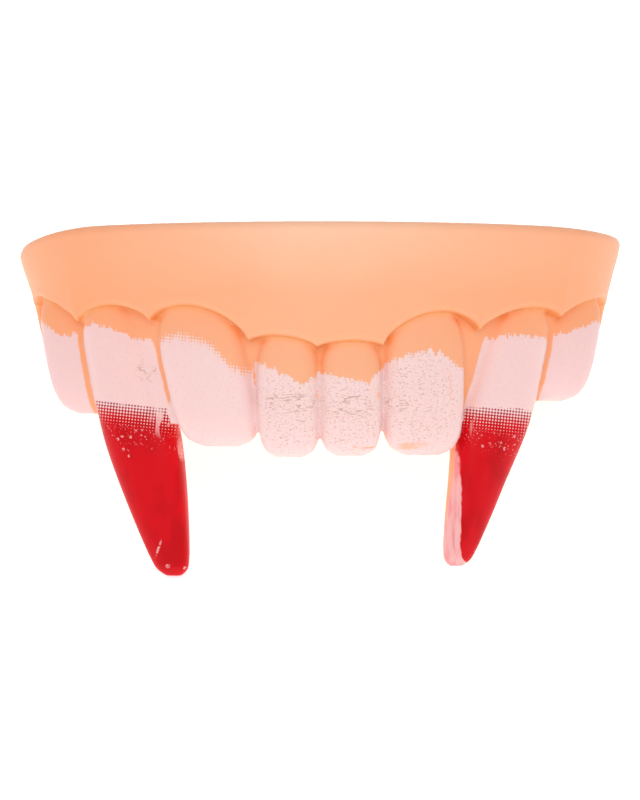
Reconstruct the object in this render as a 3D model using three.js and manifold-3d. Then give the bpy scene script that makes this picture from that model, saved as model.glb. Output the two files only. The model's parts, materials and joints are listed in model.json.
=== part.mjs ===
// A vampire fang denture: a joke upper denture of soft vinyl, cast in one piece and painted afterwards.
// A gum band runs round a horseshoe arch. A channel in its top takes the wearer's own teeth. Eight false teeth hang
// from the band and are one casting with it: two incisors, two broad canines, two long fangs and two side teeth.
//
// Sizes are millimetres. The denture is modelled level, as it is worn: X along the row of teeth, -Y towards the
// viewer, Z up, with the rim at Z = 0. Left is the viewer's left, at -X. The last section leans it back until it
// rests on its heels and the tip of its longer fang, the way it stands when it is put down on a table.
import * as THREE from "three";
import Module from "manifold-3d";

// The arch, drawn along the necks of the teeth: half an ellipse in front and a straight arm behind on each side
const archHalfWidth = 31.5;
const archDepth = 21.5;
const armLength = 19.5;

// The gum band and the channel in its top
const bandHeight = 8.5; // rim down to the gum edge over a canine
const rimFlare = 2.4; // the rim stands this far outside the necks
const rimRound = 0.8; // rounding of the rim's outer edge
const leftRimRound = 1.7; // the same edge at the left heel, which is trimmed rounder
const leftTrim = { from: 1.1, to: 1.9 }; // the turns, in radians to the left, over which it grows rounder
const leftRimDip = 1.3; // the rim sinks by this much towards the left heel
const rightRimDip = 0.4; // and by this much towards the right heel
const rimDip = { from: 0.8, to: 1.5 }; // the turns, in radians to either side, over which it sinks
const labialWall = 2.2;
const channelWidth = 7.8;
const channelTaper = 1.1; // each side of the channel leans in by this much at the floor
const floorWall = 1.3; // vinyl left between the channel's floor and the highest gum edge
const lingualWall = 2;
const lingualDrop = 2; // the inner wall ends this far below the rim
const heelRound = 1.2; // rounding of the arms' back ends
const heelRun = 6; // length over which the gum edge runs down into a heel

// The gum edge that the teeth come out of, and the vinyl between them
const marginLip = 1; // the gum edge stands this far outside the necks
const marginRoll = 0.5; // height of its rolled underside
const webRecess = 0.85; // the vinyl between two teeth lies this far behind the necks
const webThickness = 3.8;
const archRoundness = 0.6; // 1 is a sine wave, smaller is a squarer arch of gum over each tooth
const ridgeDepth = 13.5; // rim down to the underside of the gum, behind the teeth
const ridgeRound = 1.5; // rounding of the underside towards the tongue
const heelDepth = 14.5; // rim down to the underside of a heel

// The teeth
const crownLength = 15.1; // gum edge to biting edge of a canine
const crownThickness = 5.4;
const fangLength = 29.2;
const fangThickness = 5.6;
const rootSink = 1; // each tooth runs up this far behind the gum edge
const taper = { from: 0.35, to: 0.7 }; // shares of a tooth's length over which it grows slim

// How finely the round shapes are divided
const stepsPerTooth = 9;
const stepsPerArm = 5;
const stepsPerRounding = 3;
const stepsRoundTooth = 24;

// The teeth from left to right. place: share of the arch's half width, at the neck; width: share of the same;
// top: gum edge, share of the band's height; length: share of the crown's or the fang's; lean: sideways travel of
// the tip towards the midline, share of the tooth's length; twist: degrees that it faces nearer the viewer than the
// arch does; slim: share of its width that its lower half lacks.
const teeth = [
  { kind: "crown", place: -0.906, width: 0.27, top: 0.86, length: 0.853, lean: 0.27, twist: 20, slim: 0 },
  { kind: "fang", place: -0.722, width: 0.268, top: 1.0, length: 1.0, lean: 0.225, twist: 25, slim: 0 },
  { kind: "crown", place: -0.427, width: 0.303, top: 1.03, length: 0.985, lean: 0.19, twist: 6, slim: 0.04 },
  { kind: "crown", place: -0.113, width: 0.21, top: 1.4, length: 0.85, lean: 0.02, twist: 0, slim: 0 },
  { kind: "crown", place: 0.105, width: 0.21, top: 1.46, length: 0.808, lean: 0.0, twist: 0, slim: 0 },
  { kind: "crown", place: 0.357, width: 0.278, top: 1.1, length: 1.007, lean: 0.01, twist: 4, slim: 0 },
  { kind: "fang", place: 0.712, width: 0.27, top: 1.04, length: 0.947, lean: 0.27, twist: 8, slim: 0.14 },
  { kind: "crown", place: 0.912, width: 0.27, top: 0.87, length: 0.757, lean: 0.3, twist: 20, slim: 0 },
];

// The points of gum between the teeth, and behind the outermost ones. place: share of the arch's half width;
// drop: share of the band's height down to the point; web: the same, down to the end of the vinyl under it.
const papillae = [
  { place: -1, drop: 0.95, web: 1.9 },
  { place: -0.822, drop: 1.21, web: 2.3 },
  { place: -0.567, drop: 1.22, web: 2.5 },
  { place: -0.236, drop: 1.47, web: 2.5 },
  { place: -0.01, drop: 1.55, web: 2.4 },
  { place: 0.208, drop: 1.53, web: 2.4 },
  { place: 0.53, drop: 1.34, web: 2.3 },
  { place: 0.815, drop: 1.15, web: 2.2 },
  { place: 1, drop: 0.95, web: 1.9 },
];

// One row for each section of a tooth. at: share of its length below the gum edge; width: share of its width;
// front and back: how far its front and back faces stand outside the necks, shares of its thickness.
const profiles = {
  crown: [
    { at: 0.0, width: 0.66, front: 0.02, back: -0.8 },
    { at: 0.07, width: 0.84, front: 0.05, back: -0.9 },
    { at: 0.16, width: 0.95, front: 0.09, back: -0.98 },
    { at: 0.3, width: 1.0, front: 0.14, back: -1.0 },
    { at: 0.5, width: 1.0, front: 0.17, back: -0.95 },
    { at: 0.68, width: 0.985, front: 0.16, back: -0.84 },
    { at: 0.81, width: 0.94, front: 0.12, back: -0.73 },
    { at: 0.9, width: 0.85, front: 0.05, back: -0.63 },
    { at: 0.96, width: 0.7, front: -0.04, back: -0.54 },
    { at: 1.0, width: 0.42, front: -0.17, back: -0.42 },
  ],
  fang: [
    { at: 0.0, width: 0.6, front: 0.02, back: -0.8 },
    { at: 0.04, width: 0.8, front: 0.05, back: -0.88 },
    { at: 0.1, width: 0.92, front: 0.09, back: -0.94 },
    { at: 0.24, width: 0.97, front: 0.14, back: -0.97 },
    { at: 0.4, width: 1.0, front: 0.15, back: -0.96 },
    { at: 0.5, width: 0.99, front: 0.11, back: -0.93 },
    { at: 0.6, width: 0.92, front: 0.04, back: -0.88 },
    { at: 0.7, width: 0.82, front: -0.05, back: -0.83 },
    { at: 0.8, width: 0.7, front: -0.13, back: -0.78 },
    { at: 0.88, width: 0.59, front: -0.2, back: -0.74 },
    { at: 0.94, width: 0.49, front: -0.26, back: -0.7 },
    { at: 0.98, width: 0.37, front: -0.32, back: -0.64 },
    { at: 1.0, width: 0.2, front: -0.4, back: -0.56 },
  ],
};

// squareness: 2 is an oval section, larger is nearer a rectangle with round corners
const sizesOf = {
  crown: { length: crownLength, thickness: crownThickness, squareness: 3.6 },
  fang: { length: fangLength, thickness: fangThickness, squareness: 2.7 },
};

const { lerp, smoothstep, clamp, degToRad } = THREE.MathUtils;
const channelDepth = bandHeight * Math.min(...teeth.map((tooth) => tooth.top)) - floorWall;
const archEnd = Math.PI / 2 + 1; // the turn at which an arm ends
const wasm = await Module();
wasm.setup();

// A point on the arch and the way out of it. turn is the ellipse's angle in radians, 0 at the midline; past a
// quarter turn the arch goes straight back, by one arm's length for each radian.
function archAt(turn) {
  const onEllipse = clamp(turn, -Math.PI / 2, Math.PI / 2);
  const alongArm = Math.abs(turn - onEllipse) * armLength;
  return {
    x: archHalfWidth * Math.sin(onEllipse),
    y: -archDepth * Math.cos(onEllipse) + alongArm,
    out: new THREE.Vector2(archDepth * Math.sin(onEllipse), -archHalfWidth * Math.cos(onEllipse)).normalize(),
  };
}

// The gum edge and the end of the web over one turn of the arch. Between two points of gum the edge rises in a
// rounded arch to the top of the tooth; behind the last point it runs down into the heel.
function gumEdgeAt(turn) {
  const turns = papillae.map((papilla) => Math.asin(papilla.place));
  const last = papillae.length - 1;
  if (turn <= turns[0] || turn >= turns[last]) {
    const end = turn < 0 ? papillae[0] : papillae[last];
    const past = Math.abs(turn) - Math.abs(Math.asin(end.place));
    const heel = smoothstep(past * armLength, 0, heelRun);
    const foot = lerp(ridgeDepth, heelDepth, smoothstep(past, 0, 1));
    return {
      edge: -lerp(end.drop * bandHeight, foot - marginRoll - rimRound, heel),
      web: -lerp(end.web * bandHeight, foot, heel),
      heel,
    };
  }
  const i = turns.findIndex((value, index) => index < last && turn < turns[index + 1]);
  const q = (turn - turns[i]) / (turns[i + 1] - turns[i]);
  const baseline = lerp(papillae[i].drop, papillae[i + 1].drop, q);
  const middle = (papillae[i].drop + papillae[i + 1].drop) / 2;
  const rise = (middle - teeth[i].top) * Math.pow(Math.sin(Math.PI * q), archRoundness);
  return {
    edge: -(baseline - rise) * bandHeight,
    web: -lerp(papillae[i].web, papillae[i + 1].web, q) * bandHeight,
    heel: 0,
  };
}

// The turns at which the gum is cut into sections: even steps over each tooth, then over each heel, then closer
// together round the arms' back ends.
function gumTurns() {
  const first = Math.asin(papillae[0].place);
  const last = Math.asin(papillae[papillae.length - 1].place);
  const roundFrom = archEnd - heelRound / armLength;
  const rounding = Array.from({ length: stepsPerRounding }, (_, i) => {
    return lerp(roundFrom, archEnd, Math.sin(((i + 1) / stepsPerRounding) * (Math.PI / 2)));
  });
  const turns = [...rounding.map((turn) => -turn).reverse()];
  for (let i = 0; i < stepsPerArm; i++) turns.push(lerp(-roundFrom, first, i / stepsPerArm));
  papillae.slice(0, -1).forEach((papilla, i) => {
    const from = Math.asin(papilla.place);
    const to = Math.asin(papillae[i + 1].place);
    for (let step = 0; step < stepsPerTooth; step++) turns.push(lerp(from, to, step / stepsPerTooth));
  });
  for (let i = 0; i <= stepsPerArm; i++) turns.push(lerp(last, roundFrom, i / stepsPerArm));
  return [...turns, ...rounding];
}

// How far the section has drawn in at one turn, to round the arms' back ends.
function heelInset(turn) {
  const beyond = heelRound - (archEnd - Math.abs(turn)) * armLength;
  const share = clamp(beyond / heelRound, 0, 1);
  return heelRound * (1 - Math.sqrt(1 - share * share));
}

// The gum's section across the arch at one turn, as [distance outside the necks, height] pairs. It is solid here:
// the channel is cut afterwards.
function gumSection(turn) {
  const { edge, web, heel } = gumEdgeAt(turn);
  const trimmed = lerp(rimRound, leftRimRound, smoothstep(-turn, leftTrim.from, leftTrim.to));
  const round = Math.min(trimmed, labialWall * 0.8);
  const bend = 1 - Math.SQRT1_2;
  const channelInner = rimFlare - labialWall - channelWidth;
  const inner = channelInner - lingualWall;
  const lip = lerp(marginLip, marginLip / 2, heel);
  const lipFoot = lip - marginRoll;
  const webFace = lerp(-webRecess, lipFoot - marginRoll * 0.2, heel);
  const webBack = -webRecess - webThickness;
  const ridgeFoot = lerp(ridgeDepth, -web, heel);
  const rim = -(turn < 0 ? leftRimDip : rightRimDip) * smoothstep(Math.abs(turn), rimDip.from, rimDip.to);
  const section = [
    // the rim
    [rimFlare - round - labialWall * 0.1, rim],
    [rimFlare - round, rim],
    [rimFlare - round * bend, rim - round * bend],
    [rimFlare, rim - round],
    // the outer face, a little hollow on its way down to the gum edge
    [lerp(rimFlare, lip, 0.35), lerp(rim - round, edge + marginRoll, 0.5)],
    [lip + marginRoll * 0.2, edge + marginRoll * 2.4],
    // the gum edge, rolled under
    [lip, edge + marginRoll],
    [lip - marginRoll * 0.4, edge + marginRoll * 0.2],
    [lipFoot, edge],
    // the web between the teeth
    [webFace, edge],
    [webFace, lerp(edge, web, 0.1)],
    [webFace - marginRoll, web],
    [webBack, web],
    // the underside, rising to the inner ridge
    [webBack - marginRoll, lerp(web, -ridgeFoot, 0.6)],
    [lerp(webBack, inner, 0.45), -ridgeFoot],
    [lerp(webBack, inner, 0.85), -ridgeFoot + ridgeRound],
    // the inner face and the top of the inner wall
    [inner, lerp(-ridgeFoot, -lingualDrop, 0.45)],
    [inner, -lingualDrop - lingualWall / 4],
    [inner + lingualWall / 4, -lingualDrop],
    [channelInner + channelTaper, -lingualDrop],
  ];
  const inset = heelInset(turn);
  const middle = new THREE.Vector2((rimFlare + inner) / 2, -ridgeFoot / 2);
  return section.map(([outside, height]) => {
    const point = new THREE.Vector2(outside, height);
    const towards = middle.clone().sub(point).setLength(inset);
    return point.add(towards).toArray();
  });
}

// The channel's section, reaching above the rim so that the cut is clean.
function channelSection() {
  const outer = rimFlare - labialWall;
  const inner = outer - channelWidth;
  const above = rimRound;
  return [
    [outer, above],
    [outer, 0],
    [outer - channelTaper, -channelDepth],
    [inner + channelTaper, -channelDepth],
    [inner, 0],
    [inner, above],
  ];
}

// A closed surface through rings of points that all have the same count. Each end is closed by a fan of triangles
// round the middle of its ring, and the whole is turned right side out.
function loftRings(rings) {
  const count = rings[0].length;
  const middleOf = (ring) => ring.reduce((sum, point) => sum.add(point), new THREE.Vector3()).divideScalar(count);
  const points = [...rings.flat(), middleOf(rings[0]), middleOf(rings[rings.length - 1])];
  const firstMiddle = rings.length * count;
  const lastBase = (rings.length - 1) * count;
  const triangles = [];
  for (let j = 0; j < count; j++) {
    const next = (j + 1) % count;
    triangles.push([firstMiddle, next, j], [firstMiddle + 1, lastBase + j, lastBase + next]);
    for (let base = 0; base < lastBase; base += count) {
      triangles.push([base + j, base + next, base + count + j]);
      triangles.push([base + next, base + count + next, base + count + j]);
    }
  }
  const volume = triangles.reduce((sum, [a, b, c]) => {
    return sum + points[a].dot(new THREE.Vector3().crossVectors(points[b], points[c]));
  }, 0);
  const geometry = new THREE.BufferGeometry().setFromPoints(points);
  geometry.setIndex(triangles.flatMap(([a, b, c]) => (volume > 0 ? [a, b, c] : [a, c, b])));
  return geometry;
}

// A geometry as a solid that can be joined and cut.
function solidOf(geometry) {
  const mesh = new wasm.Mesh({
    numProp: 3,
    vertProperties: new Float32Array(geometry.getAttribute("position").array),
    triVerts: new Uint32Array(geometry.getIndex().array),
  });
  return new wasm.Manifold(mesh);
}

// The solid back as a geometry for a mesh.
function geometryOf(solid) {
  const { vertProperties, triVerts } = solid.getMesh();
  const geometry = new THREE.BufferGeometry();
  geometry.setAttribute("position", new THREE.BufferAttribute(vertProperties, 3));
  geometry.setIndex(new THREE.BufferAttribute(triVerts, 1));
  geometry.computeVertexNormals();
  return geometry;
}

// A section swept round the arch.
function sweepRoundArch(turns, sectionAt) {
  return solidOf(
    loftRings(
      turns.map((turn) => {
        const { x, y, out } = archAt(turn);
        return sectionAt(turn).map(([outside, height]) => {
          return new THREE.Vector3(x + out.x * outside, y + out.y * outside, height);
        });
      }),
    ),
  );
}

// One tooth: rounded sections hung one below the other, from behind the gum edge down to the tip. It stands on the
// arch, turned towards the viewer by its twist.
function makeTooth(tooth) {
  const { length: fullLength, thickness, squareness } = sizesOf[tooth.kind];
  const length = tooth.length * fullLength;
  const top = -tooth.top * bandHeight;
  const place = archAt(Math.asin(tooth.place));
  const mesial = -Math.sign(tooth.place);
  const bearing = Math.atan2(place.out.x, -place.out.y) + mesial * degToRad(tooth.twist);
  const out = new THREE.Vector2(Math.sin(bearing), -Math.cos(bearing));
  const along = new THREE.Vector2(Math.cos(bearing), Math.sin(bearing));
  const profile = profiles[tooth.kind];
  const root = { ...profile[0], at: -rootSink / length };
  const rings = [root, ...profile].map((row) => {
    const slimmed = 1 - tooth.slim * smoothstep(row.at, taper.from, taper.to);
    const width = row.width * tooth.width * archHalfWidth * slimmed;
    const middle = ((row.front + row.back) / 2) * thickness;
    const half = ((row.front - row.back) / 2) * thickness;
    const sideways = mesial * tooth.lean * length * Math.max(row.at, 0);
    return Array.from({ length: stepsRoundTooth }, (_, j) => {
      const angle = (2 * Math.PI * j) / stepsRoundTooth;
      const bulge = (value) => Math.sign(value) * Math.pow(Math.abs(value), 2 / squareness);
      const across = sideways + (bulge(Math.cos(angle)) * width) / 2;
      const outside = middle - bulge(Math.sin(angle)) * half;
      return new THREE.Vector3(
        place.x + along.x * across + out.x * outside,
        place.y + along.y * across + out.y * outside,
        top - row.at * length,
      );
    });
  });
  return solidOf(loftRings(rings));
}

// The casting: gum and teeth joined, then the channel cut through all of them.
function makeCasting() {
  const turns = gumTurns();
  const overrun = heelRound / armLength; // the cut runs out past the arms' ends
  const channelTurns = [-archEnd - overrun, ...turns, archEnd + overrun];
  const gum = sweepRoundArch(turns, gumSection);
  const channel = sweepRoundArch(channelTurns, channelSection);
  return teeth.reduce((casting, tooth) => casting.add(makeTooth(tooth)), gum).subtract(channel);
}

// How far the level denture leans back when its longer fang and its heels stand on the same surface: the lean at
// which the lowest point in front of the arms is as low as the lowest point of the arms.
function restingLean(solid) {
  const { vertProperties } = solid.getMesh();
  const lowest = (lean, isArm) => {
    let low = Infinity;
    for (let i = 0; i < vertProperties.length; i += 3) {
      const [, y, z] = vertProperties.subarray(i, i + 3);
      if (y > 0 === isArm) low = Math.min(low, z * Math.cos(lean) - y * Math.sin(lean));
    }
    return low;
  };
  let least = 0;
  let most = Math.PI / 2;
  for (let halving = 0; halving < 30; halving++) {
    const lean = (least + most) / 2;
    if (lowest(lean, false) < lowest(lean, true)) least = lean;
    else most = lean;
  }
  return (least + most) / 2;
}

const casting = makeCasting();
const vinyl = new THREE.MeshStandardMaterial({ color: 0xfdb98f, roughness: 0.45, metalness: 0 });
const denture = new THREE.Mesh(geometryOf(casting), vinyl);
denture.name = "denture";
denture.rotation.x = -restingLean(casting);

// The part's origin: on the surface it rests on, under the middle of it.
const part = new THREE.Group();
part.add(denture);
const box = new THREE.Box3().setFromObject(denture, true);
denture.position.set(-(box.min.x + box.max.x) / 2, -(box.min.y + box.max.y) / 2, -box.min.z);

export default part;
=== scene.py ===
import json
import math

import bmesh
import bpy
import numpy as np
from mathutils import Matrix, Vector


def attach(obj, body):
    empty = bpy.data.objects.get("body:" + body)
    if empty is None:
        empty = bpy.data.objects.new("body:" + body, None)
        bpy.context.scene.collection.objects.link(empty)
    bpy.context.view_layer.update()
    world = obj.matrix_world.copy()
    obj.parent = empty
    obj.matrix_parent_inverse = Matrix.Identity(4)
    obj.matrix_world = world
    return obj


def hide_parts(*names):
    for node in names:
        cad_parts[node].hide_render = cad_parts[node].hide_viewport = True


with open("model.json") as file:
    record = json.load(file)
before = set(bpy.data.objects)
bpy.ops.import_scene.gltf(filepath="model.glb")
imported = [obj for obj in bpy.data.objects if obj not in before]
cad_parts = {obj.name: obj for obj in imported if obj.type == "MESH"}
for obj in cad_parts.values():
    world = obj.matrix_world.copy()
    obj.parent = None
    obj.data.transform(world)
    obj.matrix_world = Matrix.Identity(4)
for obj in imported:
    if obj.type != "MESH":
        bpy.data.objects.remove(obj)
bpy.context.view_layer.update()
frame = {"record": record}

# The denture at rest
# A soft vinyl denture has no stand. Put down, it leans back on its heels and the tip of its longer fang. It is
# modelled level, as it is worn, with the rim at height 0, and LEVEL_TO_REST then leans and lowers it.
MM = 0.001
ARCH_HALF_WIDTH = 31.5 * MM
ARCH_DEPTH = 21.5 * MM
ARM_LENGTH = 19.5 * MM
SEAT_BEHIND_NECKS = 3.7 * MM
SEAT_BELOW_RIM = 6.01 * MM

seat = frame["record"]["mounts"][0]
lean = math.atan2(seat["axis"][1], seat["axis"][2])
level_seat = Vector((0, SEAT_BEHIND_NECKS - ARCH_DEPTH, -SEAT_BELOW_RIM))
turn_back = Matrix.Rotation(-lean, 4, "X")
LEVEL_TO_REST = Matrix.Translation(Vector(seat["pos_m"]) - turn_back @ level_seat) @ turn_back

# The camera
# It looks square on to the front teeth, as in the photo, and so down at the surface by the angle of the lean.
# One pixel of the 640 across covers PIXEL at the necks of the front teeth.
PIXEL = 0.105 * MM
CAMERA_DISTANCE = 270 * MM
CAMERA_BELOW_RIM = 18.7 * MM
SENSOR_WIDTH = 36
PHOTO_WIDTH = 640

camera_data = bpy.data.cameras.new("camera")
camera_data.sensor_fit = "HORIZONTAL"
camera_data.sensor_width = SENSOR_WIDTH
camera_data.lens = SENSOR_WIDTH * CAMERA_DISTANCE / (PIXEL * PHOTO_WIDTH)
camera_data.clip_start = 10 * MM
camera = bpy.data.objects.new("camera", camera_data)
bpy.context.scene.collection.objects.link(camera)
level_camera = Matrix.Translation((0, -ARCH_DEPTH - CAMERA_DISTANCE, -CAMERA_BELOW_RIM))
camera.matrix_world = LEVEL_TO_REST @ level_camera @ Matrix.Rotation(math.radians(90), 4, "X")
bpy.context.scene.camera = camera

# The floor
# A plain sheet of white paper, wide enough to fill the view from every side. It glows a little, which keeps it
# white under the soft light. It belongs to the studio and stays out of the object.
FLOOR_SIZE = 6.0
PAPER_WHITE = 247
PAPER_ROUGHNESS = 0.9
PAPER_GLOW = 0.6


def linear(red, green, blue):
    """A colour given in 0 to 255, as the shader wants it."""
    channels = [value / 255 for value in (red, green, blue)]
    curve = [v / 12.92 if v <= 0.04045 else ((v + 0.055) / 1.055) ** 2.4 for v in channels]
    return (*curve, 1.0)


floor_form = bmesh.new()
bmesh.ops.create_grid(floor_form, x_segments=1, y_segments=1, size=FLOOR_SIZE / 2)
floor_mesh = bpy.data.meshes.new("floor")
floor_form.to_mesh(floor_mesh)
floor_form.free()
floor = bpy.data.objects.new("floor", floor_mesh)
bpy.context.scene.collection.objects.link(floor)
paper = bpy.data.materials.new("white paper")
paper.use_nodes = True
paper_shader = paper.node_tree.nodes["Principled BSDF"]
paper_shader.inputs["Base Color"].default_value = linear(PAPER_WHITE, PAPER_WHITE, PAPER_WHITE)
paper_shader.inputs["Roughness"].default_value = PAPER_ROUGHNESS
paper_shader.inputs["Emission Color"].default_value = (1, 1, 1, 1)
paper_shader.inputs["Emission Strength"].default_value = PAPER_GLOW
floor_mesh.materials.append(paper)

# The light
# A white room that lights the denture from everywhere, and one large soft box above and in front of it.
ROOM_STRENGTH = 0.6
BOX_SIZE = 0.5
BOX_WATTS = 1.4
BOX_PLACE = Vector((0.0, -0.35, 0.55))

bpy.context.scene.view_settings.view_transform = "Standard"
room = bpy.data.worlds.new("white room")
room.use_nodes = True
room.node_tree.nodes["Background"].inputs["Color"].default_value = (1, 1, 1, 1)
room.node_tree.nodes["Background"].inputs["Strength"].default_value = ROOM_STRENGTH
bpy.context.scene.world = room
box_light = bpy.data.lights.new("soft box", "AREA")
box_light.size = BOX_SIZE
box_light.energy = BOX_WATTS
soft_box = bpy.data.objects.new("soft box", box_light)
bpy.context.scene.collection.objects.link(soft_box)
soft_box.location = BOX_PLACE
soft_box.rotation_euler = (-BOX_PLACE).to_track_quat("-Z", "Y").to_euler()

# The gum band
# The orange body of the casting: a band of soft vinyl round the arch with a scalloped lower edge, thinner webs
# between the teeth and, in its top, the channel for the wearer's own teeth. It is cast in one with the teeth.
BAND_HEIGHT = 8.5 * MM
RIM_FLARE = 2.4 * MM
RIM_ROUND = 0.8 * MM
LEFT_RIM_ROUND = 1.7 * MM
LEFT_TRIM_FROM, LEFT_TRIM_TO = 1.1, 1.9
LEFT_RIM_DIP = 1.3 * MM
RIGHT_RIM_DIP = 0.4 * MM
RIM_DIP_FROM, RIM_DIP_TO = 0.8, 1.5
LABIAL_WALL = 2.2 * MM
CHANNEL_WIDTH = 7.8 * MM
CHANNEL_TAPER = 1.1 * MM
LINGUAL_WALL = 2.0 * MM
LINGUAL_DROP = 2.0 * MM
HEEL_ROUND = 1.2 * MM
HEEL_RUN = 6.0 * MM
MARGIN_LIP = 1.0 * MM
MARGIN_ROLL = 0.5 * MM
WEB_RECESS = 0.85 * MM
WEB_THICKNESS = 3.8 * MM
ARCH_ROUNDNESS = 0.6
RIDGE_DEPTH = 13.5 * MM
RIDGE_ROUND = 1.5 * MM
HEEL_DEPTH = 14.5 * MM
ARCH_END = math.pi / 2 + 1
STEPS_PER_TOOTH = 26
STEPS_PER_ARM = 26
STEPS_PER_ROUNDING = 5

# Points of gum between the teeth: (place on the arch, drop of the point, drop of the end of the web below it)
PAPILLAE = [
    (-1.0, 0.95, 1.9),
    (-0.822, 1.21, 2.3),
    (-0.567, 1.22, 2.5),
    (-0.236, 1.47, 2.5),
    (-0.01, 1.55, 2.4),
    (0.208, 1.53, 2.4),
    (0.53, 1.34, 2.3),
    (0.815, 1.15, 2.2),
    (1.0, 0.95, 1.9),
]

# Teeth from left to right, with the same columns as in the casting's mould: place and width on the arch, top of the
# gum edge, length, lean to the midline, twist towards the viewer in degrees, and slimness of the lower half.
TOOTH_COLUMNS = ("name", "kind", "place", "width", "top", "length", "lean", "twist", "slim")
TOOTH_ROWS = [
    ("left side", "crown", -0.906, 0.27, 0.86, 0.853, 0.27, 20, 0),
    ("left fang", "fang", -0.722, 0.268, 1.0, 1.0, 0.225, 25, 0),
    ("left canine", "crown", -0.427, 0.303, 1.03, 0.985, 0.19, 6, 0.04),
    ("left incisor", "crown", -0.113, 0.21, 1.4, 0.85, 0.02, 0, 0),
    ("right incisor", "crown", 0.105, 0.21, 1.46, 0.808, 0.0, 0, 0),
    ("right canine", "crown", 0.357, 0.278, 1.1, 1.007, 0.01, 4, 0),
    ("right fang", "fang", 0.712, 0.27, 1.04, 0.947, 0.27, 8, 0.14),
    ("right side", "crown", 0.912, 0.27, 0.87, 0.757, 0.3, 20, 0),
]
TEETH = [dict(zip(TOOTH_COLUMNS, row)) for row in TOOTH_ROWS]


def mix(start, end, share):
    return start + (end - start) * share


def ease(value, start, end):
    share = min(max((value - start) / (end - start), 0), 1)
    return share * share * (3 - 2 * share)


def on_arch(turn):
    """The neck line's point at one turn, and the way out of the arch there."""
    bent = min(max(turn, -math.pi / 2), math.pi / 2)
    behind = abs(turn - bent) * ARM_LENGTH
    point = Vector((ARCH_HALF_WIDTH * math.sin(bent), behind - ARCH_DEPTH * math.cos(bent), 0))
    out = Vector((ARCH_DEPTH * math.sin(bent), -ARCH_HALF_WIDTH * math.cos(bent), 0)).normalized()
    return point, out


def gum_edge(turn):
    """Heights of the gum edge and of the web's end at one turn, and how far that turn has become heel."""
    turns = [math.asin(place) for place, _, _ in PAPILLAE]
    if turn <= turns[0] or turn >= turns[-1]:
        place, drop, web = PAPILLAE[0] if turn < 0 else PAPILLAE[-1]
        past = abs(turn) - abs(math.asin(place))
        heel = ease(past * ARM_LENGTH, 0, HEEL_RUN)
        foot = mix(RIDGE_DEPTH, HEEL_DEPTH, ease(past, 0, 1))
        edge = -mix(drop * BAND_HEIGHT, foot - MARGIN_ROLL - RIM_ROUND, heel)
        return edge, -mix(web * BAND_HEIGHT, foot, heel), heel
    i = next(k for k in range(len(TEETH)) if turn < turns[k + 1])
    share = (turn - turns[i]) / (turns[i + 1] - turns[i])
    _, drop_before, web_before = PAPILLAE[i]
    _, drop_after, web_after = PAPILLAE[i + 1]
    arch = max(math.sin(math.pi * share), 0) ** ARCH_ROUNDNESS
    rise = ((drop_before + drop_after) / 2 - TEETH[i]["top"]) * arch
    edge = -(mix(drop_before, drop_after, share) - rise) * BAND_HEIGHT
    return edge, -mix(web_before, web_after, share) * BAND_HEIGHT, 0.0


def gum_turns():
    """The turns at which the gum gets a section, closer together round the ends of the arms."""
    turns = [math.asin(place) for place, _, _ in PAPILLAE]
    round_from = ARCH_END - HEEL_ROUND / ARM_LENGTH
    quarter = math.pi / 2 / STEPS_PER_ROUNDING
    ends = [mix(round_from, ARCH_END, math.sin(quarter * (k + 1))) for k in range(STEPS_PER_ROUNDING)]
    cuts = [-turn for turn in reversed(ends)]
    cuts += [mix(-round_from, turns[0], k / STEPS_PER_ARM) for k in range(STEPS_PER_ARM)]
    for before, after in zip(turns, turns[1:]):
        cuts += [mix(before, after, k / STEPS_PER_TOOTH) for k in range(STEPS_PER_TOOTH)]
    cuts += [mix(turns[-1], round_from, k / STEPS_PER_ARM) for k in range(STEPS_PER_ARM + 1)]
    return cuts + ends


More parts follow.
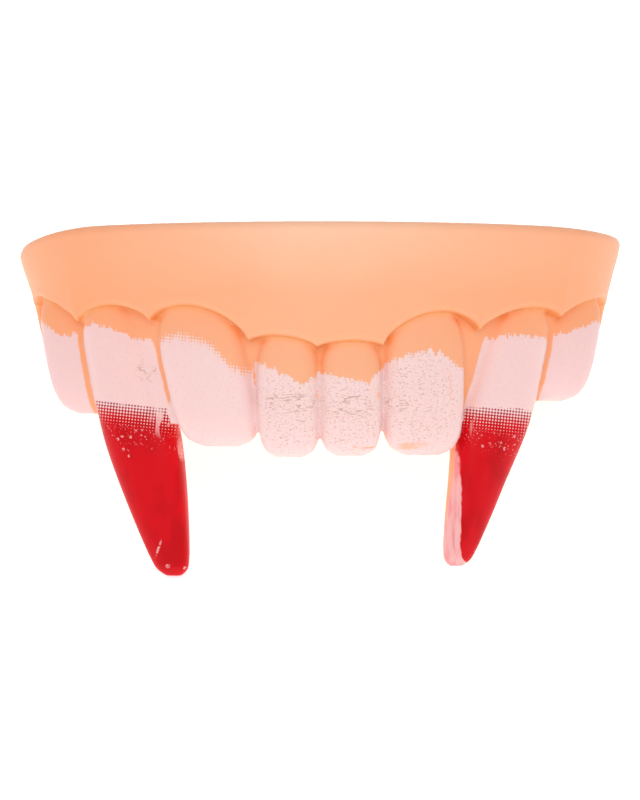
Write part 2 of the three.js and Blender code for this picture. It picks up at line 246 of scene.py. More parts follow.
def gum_section(turn):
    """Points round the band's section at one turn: (distance outside the neck line, height)."""
    edge, web, heel = gum_edge(turn)
    trimmed = mix(RIM_ROUND, LEFT_RIM_ROUND, ease(-turn, LEFT_TRIM_FROM, LEFT_TRIM_TO))
    bevel = min(trimmed, LABIAL_WALL * 0.8)
    corner = 1 - math.sqrt(0.5)
    outer_side = RIM_FLARE - LABIAL_WALL
    inner_side = outer_side - CHANNEL_WIDTH
    inner = inner_side - LINGUAL_WALL
    lip = mix(MARGIN_LIP, MARGIN_LIP / 2, heel)
    lip_foot = lip - MARGIN_ROLL
    web_face = mix(-WEB_RECESS, lip_foot - MARGIN_ROLL * 0.2, heel)
    web_back = -WEB_RECESS - WEB_THICKNESS
    ridge_foot = mix(RIDGE_DEPTH, -web, heel)
    rim = -(LEFT_RIM_DIP if turn < 0 else RIGHT_RIM_DIP) * ease(abs(turn), RIM_DIP_FROM, RIM_DIP_TO)
    points = [
        (RIM_FLARE - bevel - LABIAL_WALL * 0.1, rim),
        (RIM_FLARE - bevel, rim),
        (RIM_FLARE - bevel * corner, rim - bevel * corner),
        (RIM_FLARE, rim - bevel),
        (mix(RIM_FLARE, lip, 0.2), mix(rim - bevel, edge + MARGIN_ROLL, 0.25)),
        (mix(RIM_FLARE, lip, 0.5), mix(rim - bevel, edge + MARGIN_ROLL, 0.5)),
        (lip + MARGIN_ROLL * 0.2, edge + MARGIN_ROLL * 2.4),
        (lip, edge + MARGIN_ROLL),
        (lip - MARGIN_ROLL * 0.4, edge + MARGIN_ROLL * 0.2),
        (lip_foot, edge),
        (web_face, edge),
        (web_face, mix(edge, web, 0.1)),
        (web_face - MARGIN_ROLL / 2, mix(edge, web, 0.7)),
        (web_face - MARGIN_ROLL, web),
        (web_back, web),
        (web_back - MARGIN_ROLL, mix(web, -ridge_foot, 0.6)),
        (mix(web_back, inner, 0.45), -ridge_foot),
        (mix(web_back, inner, 0.85), -ridge_foot + RIDGE_ROUND),
        (inner, mix(-ridge_foot, -LINGUAL_DROP, 0.45)),
        (inner, -LINGUAL_DROP - LINGUAL_WALL / 4),
        (inner + LINGUAL_WALL / 4, -LINGUAL_DROP),
        (inner_side - LINGUAL_WALL / 6, -LINGUAL_DROP),
        (inner_side + CHANNEL_TAPER / 3, -LINGUAL_DROP - LINGUAL_WALL / 6),
        (inner_side + CHANNEL_TAPER, -SEAT_BELOW_RIM),
        (outer_side - CHANNEL_TAPER, -SEAT_BELOW_RIM),
        (outer_side, rim - MARGIN_ROLL),
    ]
    beyond = HEEL_ROUND - (ARCH_END - abs(turn)) * ARM_LENGTH
    share = min(max(beyond / HEEL_ROUND, 0), 1)
    inset = HEEL_ROUND * (1 - math.sqrt(1 - share * share))
    middle = Vector(((RIM_FLARE + inner) / 2, -ridge_foot / 2))
    drawn_in = []
    for x, z in points:
        point = Vector((x, z))
        drawn_in.append(point + (middle - point).normalized() * inset)
    return drawn_in


def grow_rings(form, rings):
    """A closed tube: a circle laid on the first ring of points, then extruded on to each of the others."""
    made = bmesh.ops.create_circle(form, cap_ends=False, segments=len(rings[0]), radius=1)
    ring = made["verts"]
    caps = []
    for step, points in enumerate(rings):
        if step:
            edges = [form.edges.get((a, b)) for a, b in zip(ring, ring[1:] + ring[:1])]
            grown = bmesh.ops.extrude_edge_only(form, edges=edges)
            fresh = {item for item in grown["geom"] if isinstance(item, bmesh.types.BMVert)}
            ring = [next(e.other_vert(v) for e in v.link_edges if e.other_vert(v) in fresh) for v in ring]
        for vertex, point in zip(ring, points):
            vertex.co = point
        if step in (0, len(rings) - 1):
            caps.append(ring)
    for cap in caps:
        bmesh.ops.contextual_create(form, geom=[form.edges.get((a, b)) for a, b in zip(cap, cap[1:] + cap[:1])])


casting_form = bmesh.new()
gum_rings = []
for turn in gum_turns():
    point, out = on_arch(turn)
    gum_rings.append([point + out * x + Vector((0, 0, z)) for x, z in gum_section(turn)])
grow_rings(casting_form, gum_rings)

# The teeth
# Eight solid vinyl teeth, cast in one with the gum and rounded in front and behind. Crowns are the two incisors,
# two broad canines and two side teeth. Fangs are about twice as long, lean to the middle and end in a blunt tip.
CROWN_LENGTH = 15.1 * MM
CROWN_THICKNESS = 5.4 * MM
FANG_LENGTH = 29.2 * MM
FANG_THICKNESS = 5.6 * MM
ROOT_SINK = 1.0 * MM
STEPS_ROUND_TOOTH = 64
CUTS_PER_ROW = 5
TAPER_FROM, TAPER_TO = 0.35, 0.7

# One row for each section: (share of the length, share of the width, front face, back face as thicknesses)
SECTIONS = {
    "crown": [
        (0.0, 0.66, 0.02, -0.8),
        (0.07, 0.84, 0.05, -0.9),
        (0.16, 0.95, 0.09, -0.98),
        (0.3, 1.0, 0.14, -1.0),
        (0.5, 1.0, 0.17, -0.95),
        (0.68, 0.985, 0.16, -0.84),
        (0.81, 0.94, 0.12, -0.73),
        (0.9, 0.85, 0.05, -0.63),
        (0.96, 0.7, -0.04, -0.54),
        (1.0, 0.42, -0.17, -0.42),
    ],
    "fang": [
        (0.0, 0.6, 0.02, -0.8),
        (0.04, 0.8, 0.05, -0.88),
        (0.1, 0.92, 0.09, -0.94),
        (0.24, 0.97, 0.14, -0.97),
        (0.4, 1.0, 0.15, -0.96),
        (0.5, 0.99, 0.11, -0.93),
        (0.6, 0.92, 0.04, -0.88),
        (0.7, 0.82, -0.05, -0.83),
        (0.8, 0.7, -0.13, -0.78),
        (0.88, 0.59, -0.2, -0.74),
        (0.94, 0.49, -0.26, -0.7),
        (0.98, 0.37, -0.32, -0.64),
        (1.0, 0.2, -0.4, -0.56),
    ],
}
FORMS = {
    "crown": dict(length=CROWN_LENGTH, thickness=CROWN_THICKNESS, squareness=3.6),
    "fang": dict(length=FANG_LENGTH, thickness=FANG_THICKNESS, squareness=2.7),
}


def between_rows(rows, at):
    """The columns of a table at any shares of the length, on smooth curves through its rows."""
    slopes = np.gradient(rows[:, 1:], rows[:, 0], axis=0)
    k = np.clip(np.searchsorted(rows[:, 0], at, side="right") - 1, 0, len(rows) - 2)
    step = (rows[k + 1, 0] - rows[k, 0])[:, None]
    t = np.clip((at - rows[k, 0])[:, None] / step, 0, 1)
    here = rows[k, 1:] * (1 + 2 * t) * (1 - t) ** 2 + slopes[k] * step * t * (1 - t) ** 2
    return here + rows[k + 1, 1:] * t * t * (3 - 2 * t) + slopes[k + 1] * step * t * t * (t - 1)


def facing(tooth):
    """The way out of a tooth's front and the way along its row."""
    _, out = on_arch(math.asin(tooth["place"]))
    bearing = math.atan2(out.x, -out.y) - math.copysign(math.radians(tooth["twist"]), tooth["place"])
    outward = np.array([math.sin(bearing), -math.cos(bearing), 0])
    return outward, np.array([math.cos(bearing), math.sin(bearing), 0])


def tooth_width(tooth, at):
    """A tooth's width at an array of shares of its length."""
    share = np.clip((at - TAPER_FROM) / (TAPER_TO - TAPER_FROM), 0, 1)
    slimmed = 1 - tooth["slim"] * share * share * (3 - 2 * share)
    return between_rows(np.array(SECTIONS[tooth["kind"]]), at)[:, 0] * slimmed * tooth["width"] * ARCH_HALF_WIDTH


def tooth_line(tooth, at):
    """The points from which a tooth's sections are set out: on the neck line, moved on by its lean."""
    place, _ = on_arch(math.asin(tooth["place"]))
    length = tooth["length"] * FORMS[tooth["kind"]]["length"]
    travel = -math.copysign(1, tooth["place"]) * tooth["lean"] * length * np.clip(at, 0, None)
    return np.array(place) + travel[:, None] * facing(tooth)[1]


def tooth_rings(tooth):
    """A tooth's sections, from behind the gum edge down to its tip."""
    form = FORMS[tooth["kind"]]
    length = tooth["length"] * form["length"]
    rows = np.array(SECTIONS[tooth["kind"]])
    cuts = np.interp(np.arange(0, len(rows) - 1 + 1e-6, 1 / CUTS_PER_ROW), np.arange(len(rows)), rows[:, 0])
    at = np.concatenate([[-ROOT_SINK / length], cuts])
    faces = between_rows(rows, at)[:, 1:] * form["thickness"]
    out, along = facing(tooth)
    angle = 2 * math.pi * np.arange(STEPS_ROUND_TOOTH) / STEPS_ROUND_TOOTH
    power = 2 / form["squareness"]
    wide = np.sign(np.cos(angle)) * np.abs(np.cos(angle)) ** power / 2
    deep = np.sign(np.sin(angle)) * np.abs(np.sin(angle)) ** power / 2
    rings = []
    for share, line, width, (front, back) in zip(at, tooth_line(tooth, at), tooth_width(tooth, at), faces):
        ring = line + np.outer(wide * width, along) + np.outer((front + back) / 2 - deep * (front - back), out)
        ring[:, 2] = -tooth["top"] * BAND_HEIGHT - share * length
        rings.append([Vector(point) for point in ring])
    return rings


for tooth in TEETH:
    grow_rings(casting_form, tooth_rings(tooth))

# The casting
# Gum and teeth come out of the mould as one soft piece with no seam, and every inner corner is filleted by the
# mould. The forms are fused into one skin, smoothed until the corners are as soft as the real ones, then thinned
# out where the skin is plain.
SKIN_VOXEL = 0.23 * MM
SOFTENING_PASSES = 2
SOFTENING_SHARE = 0.5
SKIN_TRIANGLES = 190000

bmesh.ops.recalc_face_normals(casting_form, faces=casting_form.faces)
bmesh.ops.transform(casting_form, matrix=LEVEL_TO_REST, verts=casting_form.verts)
rough_mesh = bpy.data.meshes.new("rough casting")
casting_form.to_mesh(rough_mesh)
casting_form.free()
rough = bpy.data.objects.new("rough casting", rough_mesh)
bpy.context.scene.collection.objects.link(rough)
skin = rough.modifiers.new("skin", "REMESH")
skin.mode = "VOXEL"
skin.voxel_size = SKIN_VOXEL
softening = rough.modifiers.new("softening", "SMOOTH")
softening.iterations = SOFTENING_PASSES
softening.factor = SOFTENING_SHARE
bpy.context.view_layer.update()
solid = rough.evaluated_get(bpy.context.evaluated_depsgraph_get())
fine_triangles = sum(len(face.vertices) - 2 for face in solid.data.polygons)
thinning = rough.modifiers.new("thinning", "DECIMATE")
thinning.ratio = min(SKIN_TRIANGLES / fine_triangles, 1)
bpy.context.view_layer.update()
solid = rough.evaluated_get(bpy.context.evaluated_depsgraph_get())
casting_mesh = bpy.data.meshes.new_from_object(solid)
bpy.data.objects.remove(rough)
casting_mesh.shade_smooth()
casting = bpy.data.objects.new("casting", casting_mesh)
bpy.context.scene.collection.objects.link(casting)
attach(casting, "root")
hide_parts("denture")

# The printed paint
# A soft pad presses pale pink paint on the fronts of the teeth, then red on the lower fangs. The upper grooves
# between the teeth stay bare, and the print's start near the gum is ragged or breaks up into fine dots.
SIDE_REACH = 0.3  # the print goes this far round a tooth's side, in mm
NOTCH_REACH = 0.8  # and this much further near a crown's biting edge, where it fills the notches
NOTCH_FROM, NOTCH_TO = 0.55, 0.75
BLUSH_FROM, BLUSH_DEPTH = 0.6, 1.8  # where pale paint turns to blush below the first red dots, in mm
FAR_OUTSIDE = -9.0

# For each tooth, in mm: where the pale print starts below the gum edge, at even steps from its left side to its
# right; the depth over which it is dotted there; how far behind the neck line it reaches; and, beside a proud fang,
# the groove that stays bare. The red has its first dots and its solid start at the left and right sides, and rows
# (below the gum edge, width) of the strip that it leaves at the left side.
PRINTS = {
    "left side": dict(pale=(1.9, 3.2, 4.4, 3.9, 3.4), dotted=0.3, reach=1.1, beside="left fang", groove=0.9),
    "left fang": dict(pale=(2.2, 1.9, 2.3, 3.4, 3.5), dotted=0.4, reach=3.6, dots=(10.1, 11.0), solid=(12.9, 14.3),
                      strip=((12.0, 0.0), (20.0, 0.1), (29.0, 0.15))),
    "left canine": dict(pale=(3.1, 2.7, 2.5, 2.9, 3.8, 6.0, 6.3), dotted=1.4, reach=1.1),
    "left incisor": dict(pale=(2.6, 3.3, 4.0, 5.1, 3.8), dotted=0.3, reach=1.1),
    "right incisor": dict(pale=(3.4, 3.6, 3.8, 4.4, 2.9), dotted=0.3, reach=1.1),
    "right canine": dict(pale=(5.3, 4.3, 3.8, 4.5, 6.1), dotted=0.6, reach=1.1),
    "right fang": dict(pale=(3.2, 2.7, 2.7, 2.9, 3.3), dotted=0.4, reach=2.2, dots=(10.5, 10.9), solid=(13.1, 14.7),
                       strip=((14.0, 0.0), (16.8, 0.2), (19.5, 0.6), (22.7, 0.93), (25.4, 1.26), (26.7, 1.56),
                              (27.6, 2.4))),
    "right side": dict(pale=(4.4, 3.9, 3.3, 2.6, 2.0), dotted=0.3, reach=1.1, beside="right fang", groove=0.75),
}

count = len(casting_mesh.vertices)
flat = np.empty(count * 3)
casting_mesh.vertices.foreach_get("co", flat)
rest_points = np.c_[flat.reshape(-1, 3), np.ones(count)]
level = (rest_points @ np.array(LEVEL_TO_REST.inverted()).T)[:, :3] / MM


def on_tooth(tooth):
    """Where every point lies on a tooth: below its gum edge, outside its neck line, to its side; its half width."""
    below = -tooth["top"] * BAND_HEIGHT / MM - level[:, 2]
    at = below / (tooth["length"] * FORMS[tooth["kind"]]["length"] / MM)
    out, along = facing(tooth)
    offset = level - tooth_line(tooth, at) / MM
    front = between_rows(np.array(SECTIONS[tooth["kind"]]), at)[:, 1] * FORMS[tooth["kind"]]["thickness"] / MM
    return below, offset @ out - np.minimum(front, 0), offset @ along, tooth_width(tooth, at) / MM / 2


fields = {name: np.full(count, FAR_OUTSIDE) for name in ("pad", "pale", "dotting", "red", "red_pad", "blush")}
for tooth in TEETH:
    printed = PRINTS[tooth["name"]]
    below, outside, side, half = on_tooth(tooth)
    length = tooth["length"] * FORMS[tooth["kind"]]["length"] / MM
    furthest = NOTCH_REACH if tooth["kind"] == "crown" else 0.0
    further = np.interp(below / length, (NOTCH_FROM, NOTCH_TO), (0.0, furthest))
    pad = np.minimum(half + SIDE_REACH - np.abs(side), outside + printed["reach"]) + further
    if "beside" in printed:
        _, _, fang_side, fang_half = on_tooth(next(fang for fang in TEETH if fang["name"] == printed["beside"]))
        pad = np.minimum(pad, np.abs(fang_side) - fang_half - printed["groove"])
    across = np.clip(side / half.max(), -1, 1)
    start = np.interp(across, np.linspace(-1, 1, len(printed["pale"])), printed["pale"])
    made = dict(pad=pad, pale=below - start, dotting=np.full(count, printed["dotted"]))
    if "dots" in printed:
        first, solid_from = (mix(*printed[key], (across + 1) / 2) for key in ("dots", "solid"))
        depths, widths = zip(*printed["strip"])
        strip = np.interp(below, depths, widths)
        made["red"] = (below - first) / (solid_from - first)
        made["red_pad"] = np.minimum(pad, side + half + SIDE_REACH / 2 - strip)
        made["blush"] = np.clip((below - first - BLUSH_FROM) / BLUSH_DEPTH, 0, 1)
    nearest = pad > fields["pad"]
    for name, values in fields.items():
        values[nearest] = made[name][nearest] if name in made else FAR_OUTSIDE

# How far each point lies under the gum edge, in mm, found at its foot on the neck line; it places the painted
# shadow and the painted dark line under that edge. Points more than EDGE_BAND inside that line are on the inner
# wall, which has no gum edge.
EDGE_BAND = 2.0 * MM
FOOT_ROUNDS = 4
EDGE_SAMPLES = 2001
bent = np.arctan2(level[:, 0] * ARCH_DEPTH, np.maximum(-level[:, 1], 0) * ARCH_HALF_WIDTH)
for _ in range(FOOT_ROUNDS):
    off_x = level[:, 0] * MM - ARCH_HALF_WIDTH * np.sin(bent)
    off_y = np.minimum(level[:, 1], 0) * MM + ARCH_DEPTH * np.cos(bent)
    run_x, run_y = ARCH_HALF_WIDTH * np.cos(bent), ARCH_DEPTH * np.sin(bent)
    bent = bent + (off_x * run_x + off_y * run_y) / (run_x ** 2 + run_y ** 2)
    bent = np.clip(bent, -math.pi / 2, math.pi / 2)
turned = bent + np.sign(bent) * np.maximum(level[:, 1], 0) * MM / ARM_LENGTH
edge_turns = np.linspace(-ARCH_END, ARCH_END, EDGE_SAMPLES)
edge_heights = np.array([gum_edge(turn)[0] for turn in edge_turns]) / MM
fields["under_edge"] = np.interp(turned, edge_turns, edge_heights) - level[:, 2]
within_arch = (level[:, 0] * MM / ARCH_HALF_WIDTH) ** 2 + (np.minimum(level[:, 1], 0) * MM / ARCH_DEPTH) ** 2 < 1
fields["under_edge"][within_arch & (np.hypot(off_x, off_y) > EDGE_BAND)] = FAR_OUTSIDE

for name, values in fields.items():
    attribute = casting_mesh.attributes.new(name, "FLOAT", "POINT")
    attribute.data.foreach_set("value", values.astype(np.float32))

# The vinyl and its paint
# Soft orange-pink vinyl, cloudy enough to glow a little where it is thin. Its colour also holds painted light and
# shade: lighter near the rim, darker towards the ends of the arch, and deeper in its corners and under the gum edge.
# The paint lies on it in fine printed dots, which merge where it is thick and stand apart at its edges.
# Painted light: the gum colour near the rim, lighter as if the top were lit more
GUM_LIT_AT_RIM = linear(254, 198, 165)
GUM = linear(254, 181, 140)
# Painted shade: the gum colour at the ends of the arch, darker than at the middle
GUM_SHADED_AT_ENDS = linear(254, 168, 122)
# Painted shade: the deeper orange put in the corners and under the gum edge
GUM_PAINTED_SHADE = linear(255, 164, 92)
# Painted shadow: the thin dark line along the gum edge
GUM_EDGE_SHADOW = linear(224, 146, 70)
PALE = linear(249, 216, 213)
# Painted shade: the pale paint on the end teeth, darker than at the middle
PALE_SHADED_AT_ENDS = linear(244, 203, 201)
BLUSH = linear(241, 184, 181)
BLUSH_STREAK = linear(236, 152, 156)
RED = linear(213, 7, 23)
RED_DARK = linear(192, 5, 17)
PLUM = linear(140, 66, 84)
HANDLED = linear(198, 150, 136)
DOT_PITCH = 0.33 * MM
DOT_ROWS_DIP = math.radians(6)
RAGGED = 0.9  # how far the print's start strays up and down, in mm
GRAIN_STRAY, STRIP_STRAY = 0.3, 0.4  # how far the grain moves the print's sides and the red strip's side
SIDE_SOFTNESS, STRIP_SOFTNESS = 0.1, 0.12  # how softly those sides end, in mm
DOT_SOFTNESS = (-0.06, 0.1)
WORN_SHARE, FLAKED_SHARE, RUBBED_SHARE = 0.8, 0.85, 0.75  # how much such marks take away or darken
MOTTLED_SHARE, PLUM_SHARE = 0.8, 0.7
# How far the painted corner shade reaches, and how much the corner shade, the painted shadow under the gum edge and
# the painted dark line along it take
CORNER_SHADE_SIZE = 1.3 * MM
CORNER_SHADE_SHARE, LIP_SHADOW_SHARE, EDGE_SHADOW_SHARE = 0.8, 0.5, 0.45
# How much painted shade the gum and the pale paint take at the ends of the arch
GUM_ENDS_SHADE_SHARE, PALE_ENDS_SHADE_SHARE = 0.85, 0.8
VINYL_ROUGHNESS, PAINT_SMOOTHER = 0.42, 0.08
RELIEF_STRENGTH, RELIEF_DEPTH = 0.4, 0.06 * MM

# Small marks on the fronts: (across, height, half width, half height, tilt in degrees), level, in mm
WORN_TO_VINYL = [
    (3.6, -23.85, 0.3, 0.45, 20),
    (5.1, -23.7, 1.2, 0.1, -6),
    (9.7, -23.5, 1.8, 0.4, -4),
    (-0.26, -18.1, 0.22, 0.42, 0),
    (6.15, -18.2, 0.2, 0.42, 0),
    (13.8, -17.2, 0.07, 1.6, 2),
]
WORN_TO_PALE = [
    (-21.7, -22.9, 0.16, 0.16, 0),
    (-21.2, -22.6, 0.18, 0.12, 0),
    (-20.3, -22.7, 0.15, 0.15, 0),
    (-21.1, -24.0, 0.14, 0.18, 0),
    (-20.6, -24.1, 0.12, 0.12, 0),
    (-20.5, -24.7, 0.12, 0.16, 0),
    (-19.7, -22.0, 0.14, 0.14, 0),
    (-19.1, -22.0, 0.12, 0.14, 0),
    (-15.0, -24.0, 0.3, 1.2, -8),
    (-17.4, -34.7, 0.13, 1.0, 20),
    (-16.4, -36.6, 0.25, 0.22, 0),
    (-14.6, -36.8, 0.2, 0.18, 0),
    (17.3, -23.6, 0.15, 0.15, 0),
    (18.1, -23.4, 0.13, 0.16, 0),
    (19.7, -23.9, 0.14, 0.2, 0),
    (20.8, -22.6, 0.14, 0.14, 0),
    (21.2, -23.0, 0.12, 0.14, 0),
]
STREAKED = [
    (-17.0, -21.2, 1.1, 1.5, -18),
    (17.0, -21.3, 0.9, 1.4, 30),
]
RUBBED = [
    (-3.2, -19.0, 3.0, 1.2, 0),
    (3.1, -19.4, 3.1, 1.5, 0),
    (8.0, -19.3, 1.6, 0.9, 0),
    (-18.6, -15.6, 1.2, 1.2, -30),
]
POROUS = [
    (-3.0, -20.0, 3.6, 5.0, 0),
    (3.2, -20.0, 3.4, 5.0, 0),
    (10.6, -18.8, 4.6, 5.6, 0),
]

vinyl = bpy.data.materials.new("painted soft vinyl")
vinyl.use_nodes = True
tree = vinyl.node_tree
shader = tree.nodes["Principled BSDF"]


def add(kind, **settings):
    """A new node. Settings with a capital are its inputs by name, a number or another node's output."""
    made = tree.nodes.new(kind)
    for key, value in settings.items():
        if key[0].islower():
            setattr(made, key, value)
        elif isinstance(value, bpy.types.NodeSocket):
            tree.links.new(value, made.inputs[key])
        else:
            made.inputs[key].default_value = value
    return made


def maths(operation, first, second=0.0, third=0.0):
    made = tree.nodes.new("ShaderNodeMath")
    made.operation = operation
    for socket, value in zip(made.inputs, (first, second, third)):
        if isinstance(value, bpy.types.NodeSocket):
            tree.links.new(value, socket)
        else:
            socket.default_value = value
    return made.outputs[0]


def fade(value, start, end):
    made = add("ShaderNodeMapRange", Value=value)
    made.inputs["From Min"].default_value = start
    made.inputs["From Max"].default_value = end
    return made.outputs["Result"]


def blend(share, under, over):
    made = tree.nodes.new("ShaderNodeMix")
    made.data_type = "RGBA"
    for index, value in ((0, share), (6, under), (7, over)):
        if isinstance(value, bpy.types.NodeSocket):
            tree.links.new(value, made.inputs[index])
        else:
            made.inputs[index].default_value = value
    return made.outputs[2]


place_node = add("ShaderNodeTexCoord")
level_place = add("ShaderNodeMapping", vector_type="POINT", Vector=place_node.outputs["Object"])
level_place.inputs["Rotation"].default_value = (lean, 0, 0)
level_place.inputs["Location"].default_value = LEVEL_TO_REST.inverted().to_translation()
split = add("ShaderNodeSeparateXYZ", Vector=level_place.outputs["Vector"])


def stretched_noise(stretch, fineness, detail):
    """Noise that is longer along the axes with the smaller stretch."""
    stretched = add("ShaderNodeMapping", Vector=level_place.outputs["Vector"], Scale=stretch)
    return add("ShaderNodeTexNoise", Vector=stretched.outputs["Vector"], Scale=fineness, Detail=detail).outputs["Fac"]


def marks(table):
    """All ovals of one table together: 1 inside them and 0 outside."""
    together = 0.0
    for x, z, wide, high, tilt in table:
        oval = add("ShaderNodeMapping", vector_type="TEXTURE", Vector=level_place.outputs["Vector"])
        oval.inputs["Location"].default_value = (x * MM, 0, z * MM)
        oval.inputs["Rotation"].default_value = (0, math.radians(tilt), 0)
        oval.inputs["Scale"].default_value = (wide * MM, 1, high * MM)
        far = add("ShaderNodeVectorMath", operation="LENGTH")
        tree.links.new(oval.outputs["Vector"], far.inputs[0])
        together = maths("MAXIMUM", fade(far.outputs["Value"], 1.2, 0.7), together)
    return together


dot_rows = add("ShaderNodeMapping", Vector=level_place.outputs["Vector"])
dot_rows.inputs["Rotation"].default_value = (0, -DOT_ROWS_DIP, 0)
dot_place = add("ShaderNodeSeparateXYZ", Vector=dot_rows.outputs["Vector"])
across = maths("MULTIPLY", dot_place.outputs["X"], math.pi / DOT_PITCH)
up = maths("MULTIPLY", dot_place.outputs["Z"], math.pi / DOT_PITCH)
wave = maths("MULTIPLY", maths("COSINE", maths("ADD", across, up)), maths("COSINE", maths("SUBTRACT", across, up)))
dots = maths("MULTIPLY_ADD", wave, 0.5, 0.5)
grain = stretched_noise((1, 1, 1), 900, 4)
torn = stretched_noise((1, 1, 0.15), 2300, 3)
strokes = stretched_noise((0.45, 1, 2.2), 950, 2)
streaks = stretched_noise((1, 1, 0.15), 1700, 2)
grit = stretched_noise((1, 1, 1), 4200, 2)
dimples = stretched_noise((0.7, 1, 1.4), 5000, 2)
cloud = stretched_noise((1, 1, 1), 90, 2)
mottle = stretched_noise((1, 1, 0.5), 420, 3)


def printed_field(name):
    return add("ShaderNodeAttribute", attribute_name=name).outputs["Fac"]


# The pale print. Each fade turns a band of noise or distance into a share from 0 to 1.
off_centre = maths("MULTIPLY", maths("SUBTRACT", torn, 0.5), RAGGED * 2)
pale_cover = maths("DIVIDE", maths("ADD", printed_field("pale"), off_centre), printed_field("dotting"))
pale_start = fade(maths("SUBTRACT", maths("MULTIPLY", pale_cover, 1.1), dots), *DOT_SOFTNESS)
rough_side = maths("MULTIPLY_ADD", maths("SUBTRACT", grain, 0.5), GRAIN_STRAY, printed_field("pad"))
pale_print = maths("MULTIPLY", pale_start, fade(rough_side, 0.0, SIDE_SOFTNESS))
worn_through = maths("MULTIPLY", marks(WORN_TO_VINYL), fade(strokes, 0.36, 0.56))
pale_left = maths("MULTIPLY", pale_print, maths("MULTIPLY_ADD", worn_through, -WORN_SHARE, 1.0))
porous = marks(POROUS)
thin_lines = fade(maths("ABSOLUTE", maths("SUBTRACT", strokes, 0.5)), 0.035, 0.012)
rubbed = maths("MULTIPLY", marks(RUBBED), maths("MULTIPLY", thin_lines, fade(grain, 0.4, 0.55)))
pitted = maths("MULTIPLY", fade(dimples, 0.54, 0.68), maths("MULTIPLY_ADD", porous, 0.5, 0.12))
# Painted shade: the gum and the pale paint get darker towards both ends of the arch, a little more on the left
left_end_shade = fade(split.outputs["X"], -3 * MM, -26 * MM)
right_end_shade = maths("MULTIPLY", fade(split.outputs["X"], 4 * MM, 28 * MM), 0.85)
ends_shade = maths("MAXIMUM", left_end_shade, right_end_shade)
pale_with_ends_shade = blend(maths("MULTIPLY", ends_shade, PALE_ENDS_SHADE_SHARE), PALE, PALE_SHADED_AT_ENDS)
handled = blend(maths("MAXIMUM", maths("MULTIPLY", rubbed, RUBBED_SHARE), pitted), pale_with_ends_shade, HANDLED)
pale_colour = blend(printed_field("blush"), handled, blend(fade(streaks, 0.48, 0.62), BLUSH, BLUSH_STREAK))

# The red print over it
red_cover = maths("MULTIPLY_ADD", maths("SUBTRACT", grain, 0.5), GRAIN_STRAY, printed_field("red"))
red_dots = fade(maths("SUBTRACT", maths("MULTIPLY_ADD", red_cover, 0.68, 0.38), dots), *DOT_SOFTNESS)
red_start = maths("MULTIPLY", red_dots, fade(red_cover, 0.0, 0.06))
rough_strip = maths("MULTIPLY_ADD", maths("SUBTRACT", grain, 0.5), STRIP_STRAY, printed_field("red_pad"))
red_print = maths("MULTIPLY", red_start, fade(rough_strip, 0.0, STRIP_SOFTNESS))
streaked = maths("MULTIPLY", marks(STREAKED), fade(streaks, 0.5, 0.56))
chipped = maths("MULTIPLY", marks(WORN_TO_PALE), fade(grit, 0.4, 0.5))
specked_band = maths("MULTIPLY", fade(printed_field("red"), 0.7, 1.0), fade(printed_field("red"), 1.7, 1.1))
specked = maths("MULTIPLY", fade(grit, 0.64, 0.69), specked_band)
flaked = maths("MULTIPLY", maths("MAXIMUM", maths("MAXIMUM", chipped, specked), streaked), FLAKED_SHARE)
red_left = maths("MULTIPLY", red_print, maths("SUBTRACT", 1.0, flaked))
red_mottled = blend(maths("MULTIPLY", fade(mottle, 0.45, 0.65), MOTTLED_SHARE), RED, RED_DARK)
red_colour = blend(maths("MULTIPLY", fade(printed_field("red"), 0.5, 0.05), PLUM_SHARE), red_mottled, PLUM)

# The bare vinyl under both, with painted light and shade in its colour: lighter towards the rim, darker towards
# the ends of the arch, painted shade in its corners, a painted shadow under the gum edge and a dark painted line
# along it
under_edge = printed_field("under_edge")
# Painted shadow: a band just under the gum edge, where the proud lip shades the tooth necks
lip_shadow = maths("MULTIPLY", fade(under_edge, -0.1, 0.1), fade(under_edge, 0.8, 0.1))
# Painted shadow: a thin dark line right at the gum edge
edge_shadow_line = maths("MULTIPLY", fade(under_edge, -0.05, 0.08), fade(under_edge, 0.3, 0.16))
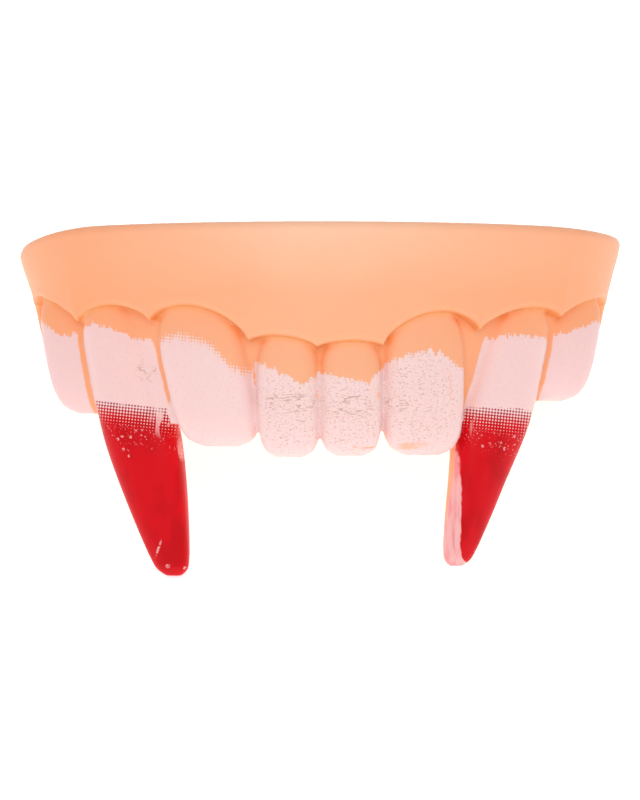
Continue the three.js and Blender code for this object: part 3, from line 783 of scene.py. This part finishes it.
# Painted shade: ambient occlusion darkens the vinyl's colour in its corners, grooves and the webs between teeth
occlusion = add("ShaderNodeAmbientOcclusion", Distance=CORNER_SHADE_SIZE, samples=8)
corner_shade = maths("MULTIPLY", fade(occlusion.outputs["AO"], 0.85, 0.4), CORNER_SHADE_SHARE)
painted_shade_share = maths("MAXIMUM", corner_shade, maths("MULTIPLY", lip_shadow, LIP_SHADOW_SHARE))
# Painted light: the gum gets lighter towards the rim, as if lit from above, mixed with a random cloud in the vinyl
rim_light_share = fade(split.outputs["Z"], -1.0 * MM, -7.5 * MM)
cloud_and_rim_light = maths("MULTIPLY_ADD", maths("SUBTRACT", cloud, 0.5), 0.5, rim_light_share)
gum_cloud_and_rim_light = blend(cloud_and_rim_light, GUM_LIT_AT_RIM, GUM)
# The gum with the painted shade towards the ends of the arch
shaded_gum = blend(maths("MULTIPLY", ends_shade, GUM_ENDS_SHADE_SHARE), gum_cloud_and_rim_light, GUM_SHADED_AT_ENDS)
# The bare vinyl's colour with the painted corner shade and the painted shadow under the gum edge mixed in
bare = blend(painted_shade_share, shaded_gum, GUM_PAINTED_SHADE)
# The vinyl with the painted shadow line along the gum edge
shadow_lined = blend(maths("MULTIPLY", edge_shadow_line, EDGE_SHADOW_SHARE), bare, GUM_EDGE_SHADOW)
colour = blend(red_left, blend(pale_left, shadow_lined, pale_colour), red_colour)
tree.links.new(colour, shader.inputs["Base Color"])
painted = maths("MAXIMUM", pale_left, red_left)
tree.links.new(maths("MULTIPLY_ADD", painted, -PAINT_SMOOTHER, VINYL_ROUGHNESS), shader.inputs["Roughness"])
pits = maths("MULTIPLY", maths("MULTIPLY", dimples, painted), maths("MULTIPLY_ADD", porous, 1.2, 0.4))
relief = maths("SUBTRACT", maths("ADD", painted, grain), pits)
bump = add("ShaderNodeBump", Strength=RELIEF_STRENGTH, Distance=RELIEF_DEPTH, Height=relief)
tree.links.new(bump.outputs["Normal"], shader.inputs["Normal"])
shader.inputs["Specular IOR Level"].default_value = 0.15
shader.inputs["Subsurface Weight"].default_value = 0.3
shader.inputs["Subsurface Radius"].default_value = (1.0, 0.45, 0.25)
shader.inputs["Subsurface Scale"].default_value = 1.2 * MM
casting_mesh.materials.append(vinyl)
